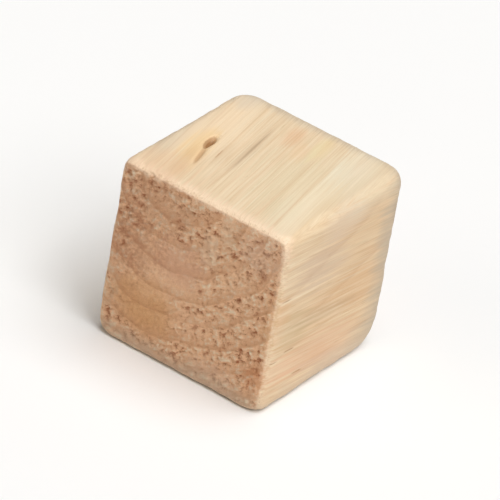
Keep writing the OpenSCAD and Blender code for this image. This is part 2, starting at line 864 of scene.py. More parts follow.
    @cached_property
    def ragged(self) -> Field:
        """How far the edge of a patch of staining or painted shade strays along the fibres, in squared
        shares of its reach.
        """
        streaks = (self.threads(Grain.STAIN_STREAK) - MIDDLE) * self.y.rise(*self.WEAR, *self.STREAKS)
        return (self.fibres(Grain.STAIN_EDGE) - MIDDLE) * self.STRAY + streaks

    @cached_property
    def clean(self) -> Field:
        """How cleanly the saw cut the ends.

        Returns:
            How clean, 0 to 1.
        """
        sawing = self.timber.sawing
        share = self.on_end(EndGrain.CLEAN_DRIFT).rise(*sawing.drift) * sawing.drift_most
        stray = self.on_end(EndGrain.CLEAN_EDGE) * sawing.clean_stray
        for patch in sawing.clean:
            share = share.at_least(patch.spread(self, stray, sawing.clean_fade) * sawing.clean_most)
        return share

    @cached_property
    def burnish(self) -> Field:
        """The smooth patch on the front end.

        Returns:
            1 in it, falling to 0 outside it.
        """
        sawing = self.timber.sawing
        stray = (self.on_end(EndGrain.BURNISH_EDGE) - MIDDLE) * sawing.burnish_stray
        return sawing.burnished.spread(self, stray, sawing.burnish_fade)

    @cached_property
    def tufts(self) -> Field:
        """The torn fibres on the ends.

        Returns:
            Their height, from 0 in a pit to 1 on a tuft.
        """
        sawing = self.timber.sawing
        turn = math.radians(sawing.turn)
        along = self.x * math.cos(turn) + self.z * math.sin(turn)
        over = self.z * math.cos(turn) - self.x * math.sin(turn)
        drawn = self.tree.join(along * sawing.lumps[0], self.end_plane, over * sawing.lumps[1])
        lumps = self.tree.noise(drawn, 1, self.layers, sawing.lump_roughness) - MIDDLE
        height = lumps * sawing.lump_height + MIDDLE
        stir = (self.on_end(EndGrain.TUFT_STIR) - MIDDLE) * sawing.tuft_stir
        far, lot = self.cells(self.tree.join(
            along * sawing.tufts[0] + stir, self.end_plane, over * sawing.tufts[1] - stir,
        ))
        tuft = lot * (sawing.tuft_top - far * sawing.tuft_slope)
        height = self.tree.mix(sawing.tuft_share, height, tuft)
        calm = (self.season.rise(*sawing.dense) * sawing.dense_calm).at_least(self.clean)
        return self.tree.mix(calm, height, sawing.calm_height)

    @cached_property
    def rays(self) -> Field:
        """The fine lines that run out from the pith across the ends.

        Returns:
            Their tone, 0 to 1.
        """
        turn = self.tree.maths("ARCTAN2", self.v, self.u)
        round_pith, each_year = self.timber.growth.rays
        place = self.tree.join(turn * round_pith, self.years * each_year, self.y.sign())
        return self.tree.noise(place, 1, layers=3, roughness=0.6)

    @cached_property
    def kerf(self) -> Field:
        """The saw's own scratches across the ends.

        Returns:
            Their depth, 0 to 1.
        """
        sawing = self.timber.sawing
        stir = (self.on_end(EndGrain.KERF_STIR) - MIDDLE) * sawing.kerf_stir
        level = self.z - self.x * sawing.kerf_slope
        return self.tree.noise(level + stir, sawing.kerf_pitch, layers=3)

    @cached_property
    def arris(self) -> Field:
        """The eased edges.

        Returns:
            1 on them, falling to 0 on the flats.
        """
        small = self.in_x.at_most(self.in_y)
        large = self.in_x.at_least(self.in_y)
        return small.at_least(large.at_most(self.in_z)).fall(*self.EASING)


# ---------------------------------------------------------------------------------------------
# The block
# ---------------------------------------------------------------------------------------------


@dataclass(frozen=True)
class Eased:
    """Radii of the block's edges in millimetres, as the part's source has them.

    Attributes:
        top: The long edges at the top.
        base: The long edges at the base.
        upright: The ends' upright edges.
        level: The ends' level edges.
        spread: How much rounder the most worn stretches are.
        stretches: Lumps of wear in each millimetre.
        worn: Where in the wear's pattern it starts to tell, and is full.
    """

    top: float = 0.5
    base: float = 0.4
    upright: float = 0.45
    level: float = 0.35
    spread: float = 0.4
    stretches: float = 0.7
    worn: Pair = (0.3, 0.75)


@dataclass(frozen=True)
class Relief:
    """Depths of the block's relief in millimetres, and what calms it.

    Attributes:
        tear: How deep the torn ends go.
        tear_start: How far inside an end's edge the tearing starts, and is full.
        tear_heights: Heights of the fibres where the saw tore deepest, and not at all.
        kerf_share: How deep the saw's scratches are beside the tearing.
        burnish_calm: How smooth the burnished patch is.
        late_calm: How smooth the dense wood is.
        calm_share: How much of the tearing a smooth place takes away.
        grain: How deep the grain shows on the planed faces.
        canal: How deep the resin canals are.
        chip: How deep the edges are nicked.
        nicks: Nicks in each millimetre.
        nicked: Where in their pattern the nicks start, and are full.
    """

    tear: float = 0.2
    tear_start: Pair = (0.0, 0.6)
    tear_heights: Pair = (0.05, 0.95)
    kerf_share: float = 0.12
    burnish_calm: float = 0.7
    late_calm: float = 0.6
    calm_share: float = 0.5
    grain: float = 0.018
    canal: float = 0.02
    chip: float = 0.06
    nicks: float = 1.7
    nicked: Pair = (0.6, 0.78)


@dataclass(frozen=True)
class WoodenCube:
    """The tumbled block.

    Attributes:
        timber: What it was cut from, and how.
        eased: Radii of its edges.
        relief: Depths of its relief.
        cells_across: Mesh cells along its width and its height.
        cells_along: Mesh cells along its length.
        crowding: How much closer the cells lie at the ends, where the shape turns and tears.
        corner_reach: How far a worn corner's ball can reach in, as a share of the smallest size.
        corner_blend: How softly a worn corner runs into the faces, in millimetres.
        even_rounds: How often the cells at the corners are evened out.
        even_start: How far inside all three faces that starts, and is full, in millimetres.
        layers: How many finer layers the torn ends' relief has.
    """

    timber: Timber
    eased: Eased = Eased()
    relief: Relief = Relief()
    cells_across: int = 168
    cells_along: int = 62
    crowding: float = 0.35
    corner_reach: float = 0.3
    corner_blend: float = 0.35
    even_rounds: int = 4
    even_start: Pair = (-0.6, -0.3)
    layers: int = 3

    def build(self, material: bpy.types.Material) -> bpy.types.Object:
        """Makes the block as a plain mesh.

        Args:
            material: Its finish.

        Returns:
            The object, with its place in its mesh.
        """
        nodes = bpy.data.node_groups.new("Tumbled block", "GeometryNodeTree")
        sizes = self._tree(nodes, material)
        seed = bpy.data.objects.new("block_seed", bpy.data.meshes.new("block_seed"))
        bpy.context.collection.objects.link(seed)
        modifier = seed.modifiers.new("Tumbled block", "NODES")
        modifier.node_group = nodes
        for identifier, value in sizes.items():
            modifier[identifier] = value
        seen = seed.evaluated_get(bpy.context.evaluated_depsgraph_get())
        mesh = bpy.data.meshes.new_from_object(seen)
        mesh.name = "tumbled_block"
        bpy.data.objects.remove(seed)
        made = bpy.data.objects.new("tumbled_block", mesh)
        bpy.context.collection.objects.link(made)
        return made

    def _sizes(self) -> Dict[str, Number]:
        """Gives the geometry tree's inputs.

        Returns:
            The value of each input, by name.
        """
        block, pocket = self.timber.block, self.timber.pocket
        sizes: Dict[str, Number] = {
            "Width": block.width,
            "Length": block.length,
            "Height": block.height,
            "Cells across": self.cells_across,
            "Cells along": self.cells_along,
            "Top edge radius": self.eased.top,
            "Base edge radius": self.eased.base,
            "Upright end edge radius": self.eased.upright,
            "Level end edge radius": self.eased.level,
            "Tear depth": self.relief.tear,
            "Grain depth": self.relief.grain,
            "Canal depth": self.relief.canal,
            "Chip depth": self.relief.chip,
            "Slit depth": pocket.slit[2],
            "Tail depth": pocket.tail[2],
        }
        sizes.update({corner.label: corner.wear for corner in Corner})
        return sizes

    def _tree(self, nodes: bpy.types.NodeTree, material: bpy.types.Material) -> Dict[str, Number]:
        """Fills the geometry tree.

        Args:
            nodes: The empty tree.
            material: The block's finish.

        Returns:
            The value of each of the tree's inputs, by identifier.
        """
        tree = Tree(nodes)
        values: Dict[str, Number] = {}
        wanted = self._sizes()
        for name, value in wanted.items():
            kind = "NodeSocketInt" if isinstance(value, int) else "NodeSocketFloat"
            socket = nodes.interface.new_socket(name=name, in_out="INPUT", socket_type=kind)
            values[socket.identifier] = value
        nodes.interface.new_socket(name="Geometry", in_out="OUTPUT", socket_type="NodeSocketGeometry")
        first = tree.node("NodeGroupInput", {}, {})
        sizes = {name: first.other(name) for name in wanted}

        size = tree.join(sizes["Width"], sizes["Length"], sizes["Height"])
        grid = tree.node("GeometryNodeMeshCube", {}, {
            "Size": size, "Vertices X": sizes["Cells across"] + 1,
            "Vertices Y": sizes["Cells along"] + 1, "Vertices Z": sizes["Cells across"] + 1,
        })
        eased = tree.node("GeometryNodeSetPosition", {}, {
            "Geometry": grid, "Position": self._eased_place(tree, size, sizes),
        })
        normal = tree.node("GeometryNodeInputNormal", {}, {})
        carved = tree.node("GeometryNodeSetPosition", {}, {
            "Geometry": eased, "Offset": normal * (0 - self._depth(tree, sizes)),
        })
        scaled = tree.node("GeometryNodeTransform", {}, {"Geometry": carved, "Scale": MM})
        smooth = tree.node("GeometryNodeSetShadeSmooth", {}, {"Geometry": scaled})
        real = tree.node("GeometryNodeRealizeInstances", {}, {"Geometry": smooth})
        done = tree.node("GeometryNodeSetMaterial", {}, {"Geometry": real, "Material": material})
        tree.node("NodeGroupOutput", {}, {"Geometry": done})
        return values

    def _eased_place(self, tree: Tree, size: Field, sizes: Dict[str, Field]) -> Field:
        """Pulls each point of the plain box onto the eased block, and stands it on Z = 0.

        Args:
            tree: The geometry tree.
            size: The block's size as a vector.
            sizes: The tree's inputs, by name.

        Returns:
            The point's new place.
        """
        place = tree.node("GeometryNodeInputPosition", {}, {})
        parts = place.split()
        half = [part / 2 for part in size.split()]
        reach = [abs(part) for part in parts]
        share = reach[1] / half[1]
        reach[1] = reach[1] * ((1 + self.crowding) - share * share * self.crowding)
        inside = [way - limit for way, limit in zip(reach, half)]
        near = inside[0].at_most(inside[1]).at_most(inside[2])
        self._round_edges(tree, place, half, reach, sizes)
        self._wear_corners(tree, parts, half, reach, sizes)
        x, y, z = (way * part.sign() for way, part in zip(reach, parts))
        # Cells that the three edges crush together at a corner are spread out again
        return tree.node("GeometryNodeBlurAttribute", {"data_type": "FLOAT_VECTOR"}, {
            "Value": tree.join(x, y, z + half[2]),
            "Iterations": self.even_rounds,
            "Weight": near.rise(*self.even_start),
        })

    def _round_edges(
        self, tree: Tree, place: Field, half: List[Field], reach: List[Field], sizes: Dict[str, Field],
    ) -> None:
        """Rounds the twelve edges.

        Args:
            tree: The geometry tree.
            place: The point in the plain box.
            half: Half the block's sizes.
            reach: How far the point lies from the middle each way, which this changes.
            sizes: The tree's inputs, by name.
        """
        eased = self.eased
        wear = tree.noise(place, eased.stretches, layers=2).rise(*eased.worn) * eased.spread + 1
        _, _, z = place.split()
        long_edge = tree.mix(z.beyond(0), sizes["Base edge radius"], sizes["Top edge radius"])
        for a, b, size in (
            (0, 2, long_edge),
            (1, 2, sizes["Level end edge radius"]),
            (0, 1, sizes["Upright end edge radius"]),
        ):
            radius = size * wear
            over_a = (reach[a] - (half[a] - radius)).at_least(0)
            over_b = (reach[b] - (half[b] - radius)).at_least(0)
            over = (over_a * over_a + over_b * over_b).sqrt().at_least(TINY)
            pull = (radius / over).at_most(1)
            reach[a] = reach[a].at_most(half[a] - radius) + over_a * pull
            reach[b] = reach[b].at_most(half[b] - radius) + over_b * pull

    def _wear_corners(
        self, tree: Tree, parts: Tuple[Field, ...], half: List[Field], reach: List[Field],
        sizes: Dict[str, Field],
    ) -> None:
        """Cuts each corner back to a ball by its own wear.

        Args:
            tree: The geometry tree.
            parts: The three parts of the point's place in the plain box.
            half: Half the block's sizes.
            reach: How far the point lies from the middle each way, which this changes.
            sizes: The tree's inputs, by name.
        """
        block = self.timber.block
        inset = min(block.width, block.length, block.height) * self.corner_reach
        wear: Value = 0
        for corner in Corner:
            right, rear, up = ((part * sign).beyond(0) for part, sign in zip(parts, corner.signs))
            wear = right * rear * up * sizes[corner.label] + wear
        ball = math.sqrt(3) * inset - wear
        over = [(way - (limit - inset)).at_least(0) for way, limit in zip(reach, half)]
        far = (over[0] * over[0] + over[1] * over[1] + over[2] * over[2]).sqrt()
        pull = tree.maths("SMOOTH_MIN", far, ball, self.corner_blend) / far.at_least(TINY)
        for i in range(3):
            reach[i] = reach[i].at_most(half[i] - inset) + over[i] * pull

    def _depth(self, tree: Tree, sizes: Dict[str, Field]) -> Field:
        """Works out the relief.

        Args:
            tree: The geometry tree.
            sizes: The tree's inputs, by name.

        Returns:
            How far the surface lies inside the eased block, in millimetres.
        """
        relief = self.relief
        place = tree.node("GeometryNodeInputPosition", {}, {})
        wood = Wood(tree, place, self.timber, self.layers)
        smooth = (wood.burnish * relief.burnish_calm).at_least(wood.late * relief.late_calm)
        torn = wood.tufts.fall(*relief.tear_heights) * (1 - smooth * relief.calm_share)
        torn = torn + wood.kerf * relief.kerf_share
        ends = torn * sizes["Tear depth"] * wood.end_reach.rise(*relief.tear_start)
        # Half of the grain is its strands, and half its years
        grain = ((1 - wood.strands) + (1 - wood.late * wood.marked)) / 2 * sizes["Grain depth"]
        planed = (grain + wood.canals * sizes["Canal depth"]) * (1 - wood.end)
        nicks = tree.noise(place, relief.nicks, layers=3, roughness=0.6).rise(*relief.nicked)
        chips = nicks * wood.arris * sizes["Chip depth"]
        pocket = self.timber.pocket
        deep = pocket.deep(place).at_least(0).sqrt() * sizes["Slit depth"]
        tail = pocket.shallow(place).at_least(0) * sizes["Tail depth"]
        return ends + planed + chips + deep.at_least(tail) * wood.top


# ---------------------------------------------------------------------------------------------
# Its finish
# ---------------------------------------------------------------------------------------------


@dataclass(frozen=True)
class Coat:
    """A colour that the wood takes where a pattern is strong.

    Attributes:
        colour: The colour.
        strength: How much of it the wood takes at most.
        band: The pattern's values where the colour starts and where it is full, the second the
            lower where it shows in the pattern's gaps. None follows the pattern evenly.
        lay: How it is laid on the wood.
    """

    colour: Triple
    strength: float
    band: Optional[Pair] = None
    lay: Lay = Lay.COVER

    def over(self, under: Value, pattern: Field, share: Optional[Field] = None) -> Field:
        """Lays the coat on the wood.

        Args:
            under: The colour of the wood under it.
            pattern: What it follows.
            share: How much of it this part of the block takes; None is all.

        Returns:
            The coated colour.
        """
        if self.band:
            start, full = self.band
            pattern = pattern.rise(start, full) if start < full else pattern.fall(full, start)
        if share is not None:
            pattern = pattern * share
        return pattern.tree.tint(pattern * self.strength, under, self.colour, self.lay)


@dataclass(frozen=True)
class PlanedWood:
    """The wood's colour along the grain, on the planed faces.

    Attributes:
        early: Pale wood of a year's start.
        bundle: Darker bundles of fibres.
        strand: Darker strands among them.
        year_line: The dense line that ends a year.
        hair: The finest fibres.
        dash: Fibre ends that the plane opened.
        dark_thread: Darker threads.
        pale_thread: Paler threads.
        canal: Fine resin canals.
        top_calm: How much fainter the bundles and the years are on the top.
    """

    early: Triple = srgb(244, 223, 190)
    bundle: Coat = Coat(srgb(230, 192, 150), 0.3, (0.35, 0.8))
    strand: Coat = Coat(srgb(230, 192, 150), 0.32, (0.2, 0.9))
    year_line: Coat = Coat(srgb(208, 158, 110), 0.45)
    hair: Coat = Coat((0.89, 0.86, 0.81), 0.8, (0.42, 0.62), Lay.DARKEN)
    dash: Coat = Coat((0.82, 0.73, 0.62), 0.5, None, Lay.DARKEN)
    dark_thread: Coat = Coat((0.86, 0.8, 0.72), 0.3, (0.54, 0.7), Lay.DARKEN)
    pale_thread: Coat = Coat(srgb(250, 236, 210), 0.25, (0.44, 0.32))
    canal: Coat = Coat(srgb(176, 124, 80), 0.7)
    top_calm: float = 0.5

    def colour(self, wood: Wood) -> Field:
        """Works out the colour.

        Args:
            wood: The wood's fields.

        Returns:
            The colour.
        """
        side = 1 - wood.top * self.top_calm
        thread = wood.threads(Grain.THREAD)
        colour = self.bundle.over(self.early, wood.fibres(Grain.BUNDLE), side)
        colour = self.strand.over(colour, wood.strands)
        colour = self.year_line.over(colour, wood.year_line, side)
        colour = self.hair.over(colour, wood.hair)
        colour = self.dash.over(colour, wood.dashes)
        colour = self.dark_thread.over(colour, thread)
        colour = self.pale_thread.over(colour, thread)
        return self.canal.over(colour, wood.canals)


@dataclass(frozen=True)
class SawnWood:
    """The wood's colour on the sawn ends.

    Attributes:
        pit: The wood where it is torn deepest, darkened partly by dust and partly by painted shade in the
            pits.
        whole: The wood where it is whole.
        fleck: Bright torn fibres.
        golden: The burnished patch.
        ring: The darkening of each year.
        pore: Fine pores.
        clumping: How much the torn fibres' tone changes from clump to clump.
        burnish_calm: How even the burnished patch's tone is.
        ray_share: How much of the pores' pattern is rays.
        whole_pores: Where in their own pattern the pores start to close, and are closed.
    """

    pit: Triple = srgb(186, 119, 81)
    whole: Coat = Coat(srgb(255, 208, 166), 1, (0.13, 0.47))
    fleck: Coat = Coat(srgb(255, 236, 206), 0.85, (0.5, 0.8))
    golden: Coat = Coat(srgb(228, 170, 108), 0.6)
    ring: Coat = Coat(srgb(208, 148, 104), 0.4)
    pore: Coat = Coat((0.8, 0.76, 0.72), 1, None, Lay.DARKEN)
    clumping: float = 0.9
    burnish_calm: float = 0.8
    ray_share: float = 0.35
    whole_pores: Pair = (0.34, 0.66)

    def colour(self, wood: Wood) -> Field:
        """Works out the colour.

        Args:
            wood: The wood's fields.

        Returns:
            The colour.
        """
        clumps = (wood.on_end(EndGrain.CLUMP) - MIDDLE) * (1 - wood.clean) * self.clumping
        tone = wood.tree.mix(wood.burnish * self.burnish_calm, wood.tufts + clumps, MIDDLE)
        # Painted shade: the pits are coloured darker than the tufts, partly dust; the ends' warm tones are
        # partly painted warm bounce light.
        colour = self.whole.over(self.pit, tone)
        colour = self.fleck.over(colour, tone)
        colour = self.golden.over(colour, wood.burnish)
        colour = self.ring.over(colour, wood.darkening)
        closed = wood.on_end(EndGrain.PORE).rise(*self.whole_pores) * (1 - self.ray_share)
        return self.pore.over(colour, 1 - (closed + wood.rays * self.ray_share))


@dataclass(frozen=True)
class EdgeWearAndHighlight:
    """Wear and painted highlight round the ends' edges: paler at the front, mostly where they face up or
    right towards the lamps, and greyer at the rear.

    Attributes:
        rubbed_and_highlit: The front end's edges, paler: a little burnished by other blocks, mostly painted
            highlight where they face up or right.
        rear_greying: The rear end's edges, greyer.
        scuffed: Raised fibres on the edges of both.
        start: How far past an end's edge the wear starts, and is full, in millimetres.
        fade: How far past it the wear starts to fade, and is gone.
        stray: How far it strays on the planed faces.
        front_stray: How much farther it strays there at the front.
        strand_pull: How much the strands lead it astray, beside the finest fibres.
        end_stray: How far it strays on the ends.
        front: Along Y, where the front starts to end, and the rear is reached.
        upper: Along Z, where an edge starts to look up, and does.
        right: Along X, where it starts to look right, and does.
        highlight_share: How pale the front edges are made for looking up and for looking right, both
            painted highlight, and in any case, their burnish.
    """

    rubbed_and_highlit: Coat = Coat(srgb(255, 228, 198), 1)
    rear_greying: Coat = Coat(srgb(214, 194, 168), 0.6)
    scuffed: Coat = Coat((0.9, 0.86, 0.8), 0.7, (0.4, 0.65), Lay.DARKEN)
    start: Pair = (-0.75, -0.3)
    fade: Pair = (0.05, 0.3)
    stray: float = 0.6
    front_stray: float = 0.7
    strand_pull: float = 0.5
    end_stray: float = 1.1
    front: Pair = (-2, 2)
    upper: Pair = (8.4, 9.7)
    right: Pair = (3.9, 4.8)
    highlight_share: Triple = (0.65, 0.3, 0.1)

    def over(self, under: Field, wood: Wood) -> Field:
        """Lays the wear and the painted highlight on the wood.

        Args:
            under: The colour of the wood under it.
            wood: The wood's fields.

        Returns:
            The worn and highlit colour.
        """
        front = wood.y.fall(*self.front)
        planed = (wood.hair - MIDDLE) + (wood.strands - MIDDLE) * self.strand_pull
        planed = planed * (front * self.front_stray + self.stray)
        sawn = (wood.on_end(EndGrain.WORN_EDGE) - MIDDLE) * self.end_stray
        past = wood.end_reach + wood.tree.mix(wood.end, planed, sawn)
        edge_band = past.rise(*self.start) * past.fall(*self.fade)
        # Painted highlight: the front end's edges are made paler where they face up or right, towards the
        # lamps; only the last share is burnish.
        up, right, always = self.highlight_share
        lamp_facing_highlight = wood.z.rise(*self.upper) * up + wood.x.rise(*self.right) * right + always
        colour = self.rubbed_and_highlit.over(under, edge_band * front, lamp_facing_highlight)
        colour = self.rear_greying.over(colour, edge_band, 1 - front)
        return self.scuffed.over(colour, wood.hair, edge_band)


@dataclass(frozen=True)
class Resin:
    """Resin in the pocket, and in the wood round it.

    Attributes:
        amber: Wood soaked by it.
        crust: Its dry thin edge in the pocket's tail.
        lip: The same in the deep slit.
        dried: Dried resin in the slit.
        filled: Where in the slit's shape it starts, and is full.
        fray: How ragged its rims are.
    """

    amber: Coat = Coat(srgb(244, 210, 164), 0.45, (-2.8, 0.2))
    crust: Coat = Coat(srgb(190, 150, 108), 0.7, (0.1, 0.9))
    lip: Coat = Coat(srgb(190, 150, 108), 0.9, (-0.3, 0.3))
    dried: Coat = Coat(srgb(158, 116, 76), 0.9)
    filled: Pair = (0.4, 0.75)
    fray: float = 0.5

    def over(self, under: Field, wood: Wood) -> Tuple[Field, Field]:
        """Lays the resin on the wood.

        Args:
            under: The colour of the wood under it.
            wood: The wood's fields.

        Returns:
            The colour, and how full of resin the place is, 0 to 1.
        """
        pocket = wood.timber.pocket
        stray = (wood.threads(Grain.POCKET_FRAY) - MIDDLE) * self.fray
        deep = pocket.deep(wood.place) + stray
        tail = pocket.shallow(wood.place) + stray
        filled = deep.rise(*self.filled) * wood.top
        colour = self.amber.over(under, tail.at_least(deep), wood.top)
        colour = self.crust.over(colour, tail, wood.top)
        colour = self.lip.over(colour, deep, wood.top)
        return self.dried.over(colour, filled), filled


@dataclass(frozen=True)
class StainAndShade:
    """A soft change of colour in the wood: a patch of staining, or of painted shade and warm bounce light.

    Attributes:
        centre: Its middle in the block, in millimetres.
        reach: Its half sizes along X, Y and Z.
        colour: What it tends to.
        strength: How much of that colour it takes at its middle.
        lay: How it is laid on the wood.
    """

    centre: Triple
    reach: Triple
    colour: Triple
    strength: float
    lay: Lay = Lay.COVER

    def over(self, under: Field, wood: Wood, fade: Pair) -> Field:
        """Lays the patch on the wood, drawn out along the leaning grain.

        Args:
            under: The colour of the wood under it.
            wood: The wood's fields.
            fade: Where it starts to fade and is gone, in squared shares of its reach.

        Returns:
            The changed colour.
        """
        tree = wood.tree
        middle = wood.timber.growth.from_pith(*self.centre)
        scale = tuple(1 / size for size in self.reach)
        shift = tuple(-place / size for place, size in zip(middle, self.reach))
        away = tree.maths("MULTIPLY_ADD", wood.trunk, scale, shift)
        far = tree.maths("DOT_PRODUCT", away, away) + wood.ragged
        return tree.tint(far.fall(*fade, self.strength), under, self.colour, self.lay)


# The dark line and its core, then orange, yellow and dull streaks
TOP_MARKS = (
    StainAndShade((-1.2, 0.4, 10), (0.3, 2.7, 0.8), srgb(192, 170, 142), 0.3),
    StainAndShade((-1.2, 0.5, 10), (0.08, 2.0, 0.8), srgb(150, 122, 92), 0.36),
    StainAndShade((-0.5, 3.0, 10), (0.55, 1.3, 0.9), srgb(230, 170, 122), 0.42),
    StainAndShade((0.5, 2.1, 10), (0.45, 1.1, 0.9), srgb(248, 196, 148), 0.35),
    StainAndShade((1.1, 3.2, 10), (0.5, 1.5, 0.9), srgb(246, 226, 166), 0.4),
    StainAndShade((3.0, -2.7, 10), (0.9, 1.4, 0.9), srgb(216, 202, 168), 0.3),
    StainAndShade((-3.05, -1.6, 10), (0.3, 1.2, 0.8), srgb(196, 156, 112), 0.4),
)

# Greyed left and rear edges, then broad tones
TOP_TONES = (
    StainAndShade((-5, 0.5, 10), (0.8, 9.0, 0.7), srgb(208, 192, 170), 0.5),
    StainAndShade((0, 5, 10), (9.0, 0.9, 0.9), srgb(208, 194, 172), 0.45),
    StainAndShade((-3.3, 0.5, 10), (1.6, 4.5, 1.2), srgb(255, 228, 192), 0.5),
    StainAndShade((-3.2, -1.2, 10), (0.7, 2.0, 0.8), srgb(246, 208, 146), 0.5),
    StainAndShade((2.2, 0.0, 10), (2.6, 4.5, 1.0), srgb(230, 216, 180), 0.4),
    StainAndShade((4.0, 2.6, 10), (1.7, 3.2, 1.6), srgb(247, 242, 221), 0.5),
    StainAndShade((-3.5, -4.1, 10), (2.4, 1.5, 0.9), srgb(234, 190, 150), 0.35),
    StainAndShade((-2.6, -2.8, 10), (0.9, 1.5, 0.8), srgb(222, 180, 134), 0.32),
    StainAndShade((-1.9, -1.0, 10), (0.4, 1.4, 0.8), srgb(210, 180, 144), 0.3),
    StainAndShade((-4.5, 4.4, 10), (1.4, 1.4, 0.9), srgb(208, 200, 186), 0.35),
    StainAndShade((3.8, -2.0, 10), (1.2, 4.0, 0.9), srgb(252, 236, 206), 0.5),
)

# Painted shade and warm bounce light over the whole side, then orange, grey and pink patches and a dark
# line, with greyer bands low along the base that are partly painted contact shade; last its greyed rear
# edge
RIGHT_SIDE = (
    # Painted shade and warm bounce light: the whole right side is made darker and warmer.
    StainAndShade((5, 0.5, 4.5), (1.6, 16.0, 12.0), (0.92, 0.845, 0.76), 1.0, Lay.DARKEN),
    StainAndShade((5, 2.2, 4.6), (0.8, 3.2, 1.4), srgb(222, 174, 124), 0.4),
    StainAndShade((5, -1.6, 7.2), (0.8, 3.0, 1.5), srgb(210, 186, 166), 0.38),
    StainAndShade((5, -0.2, 9.3), (0.8, 2.4, 1.1), srgb(232, 214, 194), 0.35),
    StainAndShade((5, -0.5, 1.9), (0.9, 5.5, 1.3), srgb(230, 178, 146), 0.38),
    # A greyer band along the base: soiling and painted contact shade.
    StainAndShade((5, 1.5, 0.6), (0.9, 6.0, 0.8), srgb(204, 188, 172), 0.3),
    StainAndShade((5, -3.3, 4.3), (0.8, 1.8, 1.2), srgb(206, 178, 134), 0.5),
    StainAndShade((5, -3.9, 2.1), (0.8, 1.7, 1.1), srgb(240, 188, 150), 0.3),
    StainAndShade((5, -4.6, 4.9), (0.8, 1.0, 1.7), srgb(226, 178, 130), 0.42),
    StainAndShade((5, -0.7, 4.2), (0.8, 3.4, 0.45), srgb(178, 140, 100), 0.34),
    StainAndShade((5, 5.2, 5.0), (1.0, 2.0, 8.0), srgb(190, 175, 155), 0.72),
    StainAndShade((5, 4.2, 0.9), (1.0, 2.4, 1.3), srgb(194, 178, 156), 0.5),
)

# Orange low on the right, dark at the left with painted shade down the left edge, then lighter and pinker
# places
FRONT_END = (
    StainAndShade((4.3, -5, 2.0), (0.8, 0.8, 0.9), srgb(200, 124, 72), 0.4),
    StainAndShade((-2.9, -5, 8.3), (2.7, 1.0, 1.7), srgb(166, 108, 76), 0.3),
    # Painted shade: the left edge of the front end is made darker.
    StainAndShade((-4.8, -5, 5.3), (1.9, 1.0, 4.3), srgb(170, 107, 74), 0.31),
    StainAndShade((1.6, -5, 8.9), (0.5, 1.0, 1.0), srgb(244, 210, 174), 0.5),
    StainAndShade((0.7, -5, 7.3), (0.6, 1.0, 1.0), srgb(244, 212, 178), 0.5),
    StainAndShade((2.4, -5, 6.6), (1.0, 1.0, 1.1), srgb(248, 204, 164), 0.35),
    StainAndShade((-0.8, -5, 5.8), (1.8, 1.0, 1.6), srgb(214, 160, 132), 0.45),
    StainAndShade((-3.1, -5, 5.8), (1.6, 1.0, 1.7), srgb(180, 120, 86), 0.4),
    StainAndShade((0.3, -5, 3.3), (1.3, 1.0, 1.2), srgb(252, 206, 166), 0.35),
    StainAndShade((3.6, -5, 8.6), (1.5, 1.0, 1.3), srgb(236, 199, 171), 0.38),
    StainAndShade((2.0, -5, 1.0), (1.6, 1.0, 0.9), srgb(236, 202, 174), 0.4),
)

REAR_AND_LEFT = (
    StainAndShade((2.8, 5, 7.6), (2.6, 1.0, 1.9), srgb(160, 104, 68), 0.35),
    StainAndShade((-2.4, 5, 3.0), (2.3, 1.0, 1.8), srgb(232, 182, 142), 0.4),
    StainAndShade((-5, 1.5, 6.5), (0.9, 4.0, 1.5), srgb(212, 170, 124), 0.4),
    StainAndShade((-5, -2.2, 2.6), (0.9, 3.2, 1.7), srgb(242, 216, 180), 0.45),
)


